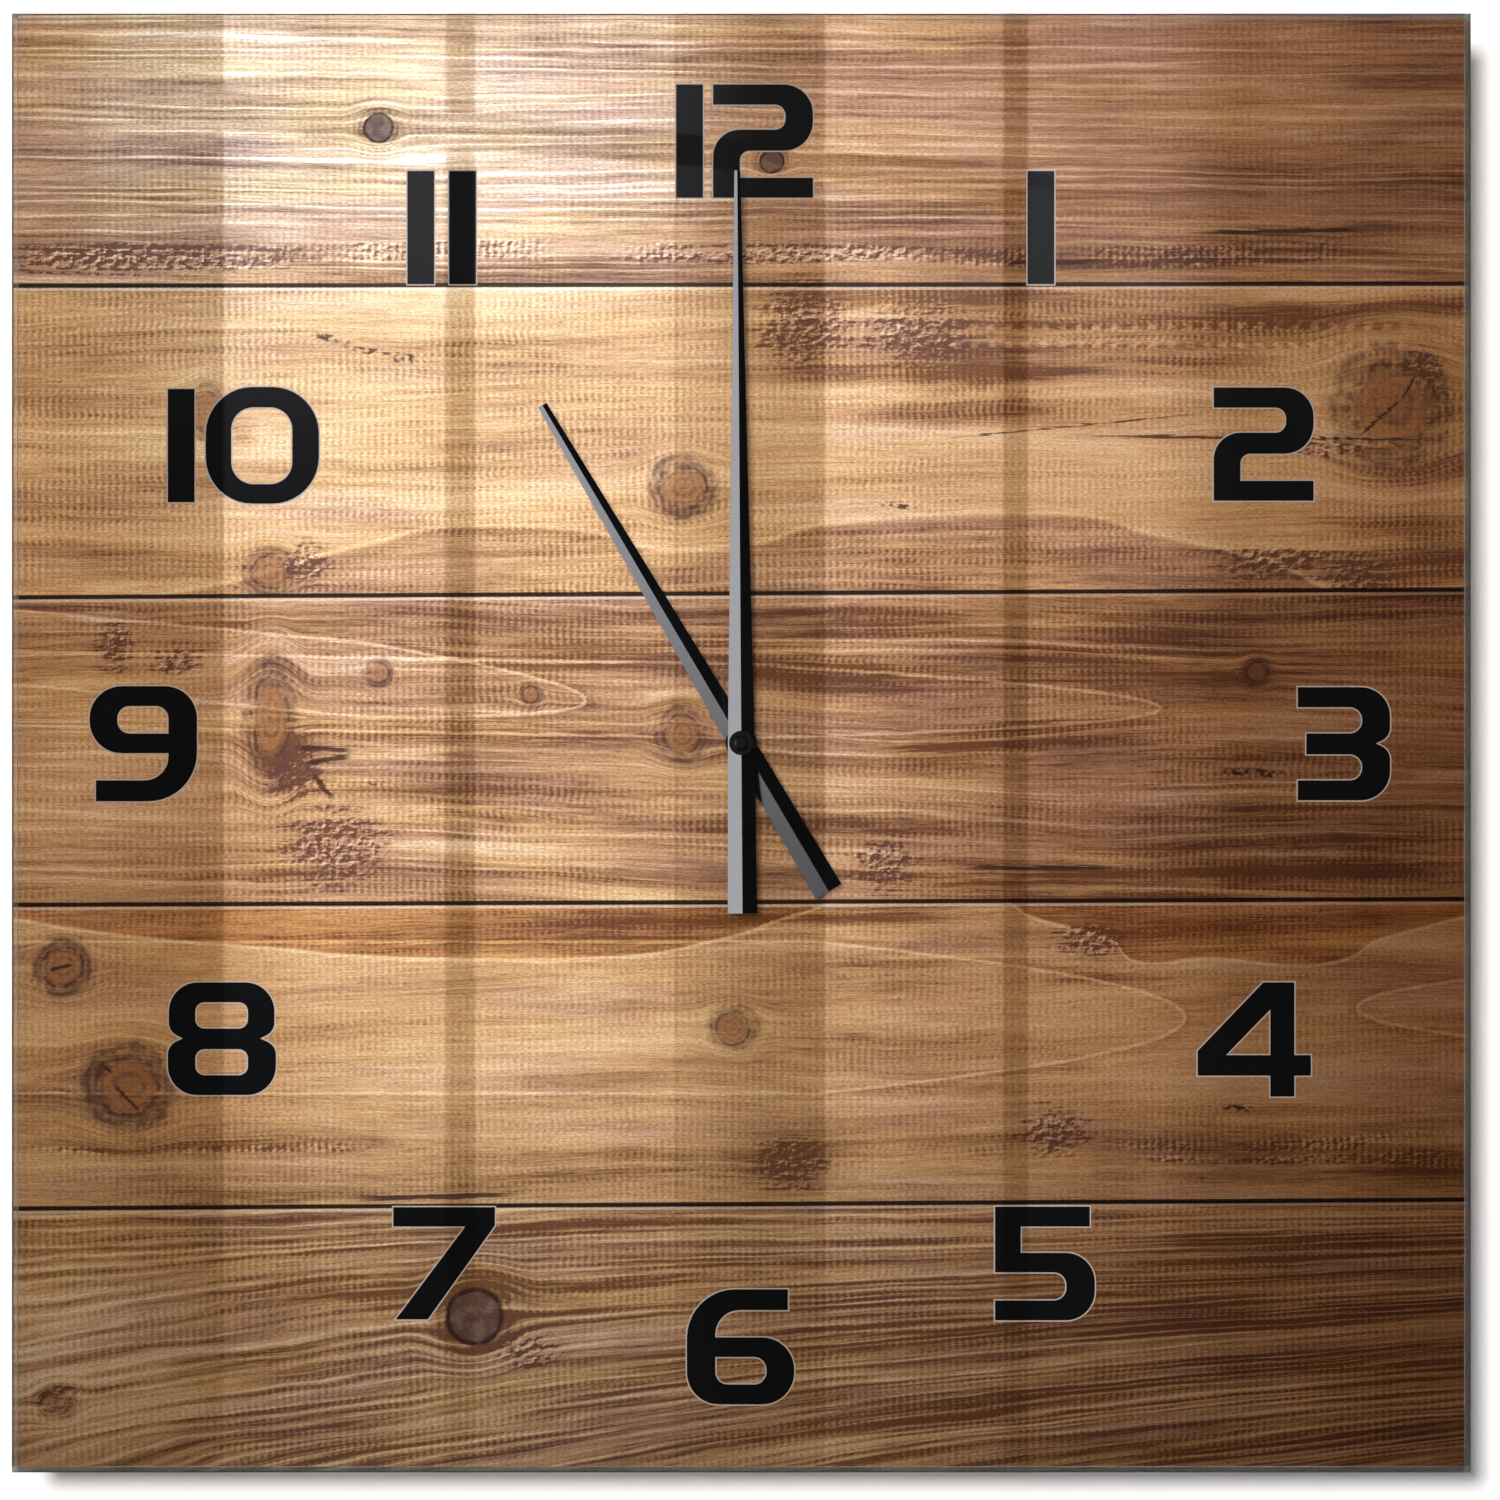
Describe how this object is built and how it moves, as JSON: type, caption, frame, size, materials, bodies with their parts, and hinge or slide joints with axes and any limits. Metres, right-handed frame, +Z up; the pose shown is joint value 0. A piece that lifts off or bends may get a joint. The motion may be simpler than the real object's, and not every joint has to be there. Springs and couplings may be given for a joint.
{
  "type": "glass wall clock",
  "caption": "Square frameless glass wall clock: wood-plank print behind the glass, wide plain numerals, folded black hands, geared quartz movement and steel keyhole hanger at the back.",
  "frame": {"origin": "centre of the round end of the hanger's keyhole, on the wall plane", "axes": "+Z up, +Y into the wall, +X to the right for someone who reads the dial; the dial looks to -Y"},
  "size_m": [0.3, 0.0296, 0.3],
  "materials": {
    "glass": "clear float glass, ground and polished bevels",
    "print": "printed film of weathered pine planks, seen through the glass",
    "foam": "double-sided foam",
    "hanger_steel": "zinc-plated sheet",
    "case_plastic": "fine spark-eroded texture",
    "cover_plastic": "fine spark-eroded texture",
    "gear_plastic": "moulded acetal",
    "cell_sleeve": "plain shrink sleeve",
    "contact_steel": "nickel-plated spring strip",
    "board": "phenolic board",
    "crystal_can": "drawn metal can",
    "resin": "black potting resin",
    "copper": "enamelled copper wire",
    "soft_iron": "stamped soft iron",
    "magnet": "plastic-bonded magnet on a moulded pinion",
    "spring_bronze": "stamped spring bronze",
    "knob_plastic": "moulded",
    "hand_paint": "satin black lacquer on folded aluminium sheet",
    "spacer_rubber": "soft pale rubber"
  },
  "bodies": {
    "clock_body": {"glass_panel": "glass", "dial_print": "print", "mounting_pad": "foam", "hanger_plate": "hanger_steel", "front_case": "case_plastic", "rear_cover": "cover_plastic", "gear_bridge": "gear_plastic", "battery": "cell_sleeve", "battery_contact_positive": "contact_steel", "battery_contact_negative": "contact_steel", "circuit_board": "board", "quartz_crystal": "crystal_can", "chip_blob": "resin", "coil_bobbin": "gear_plastic", "coil_winding": "copper", "coil_core": "soft_iron", "stator": "soft_iron", "wall_spacers": "spacer_rubber"},
    "minute_shaft": {"cannon_pinion": "gear_plastic", "clutch_spring": "spring_bronze", "minute_hand": "hand_paint", "hand_cap": "hand_paint"},
    "hour_shaft": {"hour_wheel": "gear_plastic", "hour_hand": "hand_paint"},
    "motion_arbor": {"motion_wheel": "gear_plastic"},
    "knob": {"setting_knob": "knob_plastic"},
    "second_arbor": {"second_wheel": "gear_plastic"},
    "rotor_arbor": {"rotor": "magnet"},
    "intermediate_arbor": {"intermediate_wheel": "gear_plastic"},
    "third_arbor": {"third_wheel": "gear_plastic"},
    "centre": {"centre_wheel": "gear_plastic"}
  },
  "joints": [
    {"name": "minute_turn", "type": "hinge", "parent": "clock_body", "child": "minute_shaft", "pos_m": [0, -0.02, -0.03901], "axis": [0, 1, 0], "continuous": true},
    {"name": "hour_turn", "type": "hinge", "parent": "clock_body", "child": "hour_shaft", "pos_m": [0, -0.02, -0.03901], "axis": [0, 1, 0], "continuous": true},
    {"name": "motion_turn", "type": "hinge", "parent": "clock_body", "child": "motion_arbor", "pos_m": [0.0105, -0.014, -0.03901], "axis": [0, 1, 0], "continuous": true},
    {"name": "knob_turn", "type": "hinge", "parent": "clock_body", "child": "knob", "pos_m": [0.01959, -0.01, -0.03376], "axis": [0, 1, 0], "continuous": true},
    {"name": "second_turn", "type": "hinge", "parent": "clock_body", "child": "second_arbor", "pos_m": [0, -0.008, -0.03901], "axis": [0, 1, 0], "continuous": true},
    {"name": "rotor_turn", "type": "hinge", "parent": "clock_body", "child": "rotor_arbor", "pos_m": [-0.01614, -0.008, -0.03696], "axis": [0, 1, 0], "continuous": true},
    {"name": "intermediate_turn", "type": "hinge", "parent": "clock_body", "child": "intermediate_arbor", "pos_m": [-0.0105, -0.007, -0.03901], "axis": [0, 1, 0], "continuous": true},
    {"name": "third_turn", "type": "hinge", "parent": "clock_body", "child": "third_arbor", "pos_m": [0.0054, -0.01, -0.02965], "axis": [0, 1, 0], "continuous": true},
    {"name": "centre_turn", "type": "hinge", "parent": "clock_body", "child": "centre", "pos_m": [0, -0.012, -0.03901], "axis": [0, 1, 0], "continuous": true}
  ],
  "couplings": [
    {"joint": "hour_turn", "follows": "minute_turn", "ratio": 0.083333},
    {"joint": "motion_turn", "follows": "minute_turn", "ratio": -0.33333},
    {"joint": "knob_turn", "follows": "minute_turn", "ratio": 1},
    {"joint": "rotor_turn", "follows": "second_turn", "ratio": 30},
    {"joint": "intermediate_turn", "follows": "second_turn", "ratio": -6},
    {"joint": "third_turn", "follows": "second_turn", "ratio": -0.13333},
    {"joint": "centre_turn", "follows": "second_turn", "ratio": 0.016667}
  ]
}
